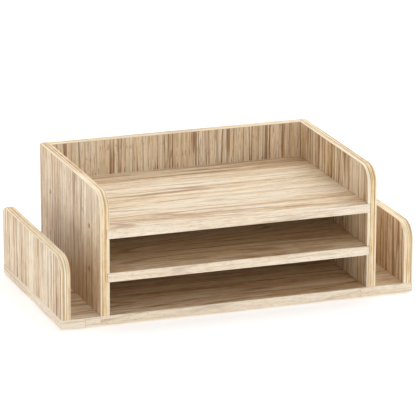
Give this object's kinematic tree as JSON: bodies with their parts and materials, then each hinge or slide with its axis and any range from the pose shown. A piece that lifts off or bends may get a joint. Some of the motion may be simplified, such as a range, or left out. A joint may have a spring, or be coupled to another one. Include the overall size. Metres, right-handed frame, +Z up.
{
  "type": "desk organizer",
  "caption": "Wood-grain desk organizer with an open top tray, stacked letter compartments and an upright pocket at each end.",
  "frame": {"origin": "on the desk surface, under the middle of the base, at the bottom of the pads", "axes": "+X to the right across the width, +Y from the open front to the back, +Z up"},
  "size_m": [0.47, 0.25, 0.1715],
  "materials": {
    "laminate": "satin oak-look laminate with grain along each board",
    "edging": "satin edging strip with grain along the edge",
    "screw_steel": "zinc plated",
    "dowel_beech": "raw fluted beech",
    "pad_foam": "matt foam"
  },
  "bodies": {
    "root": {"base_board": "laminate", "base_edging": "edging", "left_outer_panel": "laminate", "left_outer_edging": "edging", "right_outer_panel": "laminate", "right_outer_edging": "edging", "left_tall_panel": "laminate", "left_tall_edging": "edging", "right_tall_panel": "laminate", "right_tall_edging": "edging", "back_panel": "laminate", "back_edging": "edging", "top_shelf": "laminate", "top_shelf_edging": "edging", "middle_shelf": "laminate", "middle_shelf_edging": "edging", "outer_panel_screws": "screw_steel", "tall_panel_screws": "screw_steel", "back_foot_screws": "screw_steel", "top_shelf_screws": "screw_steel", "middle_shelf_screws": "screw_steel", "back_shelf_screws": "screw_steel", "upright_dowels": "dowel_beech", "back_dowels": "dowel_beech", "pads": "pad_foam"}
  },
  "joints": []
}
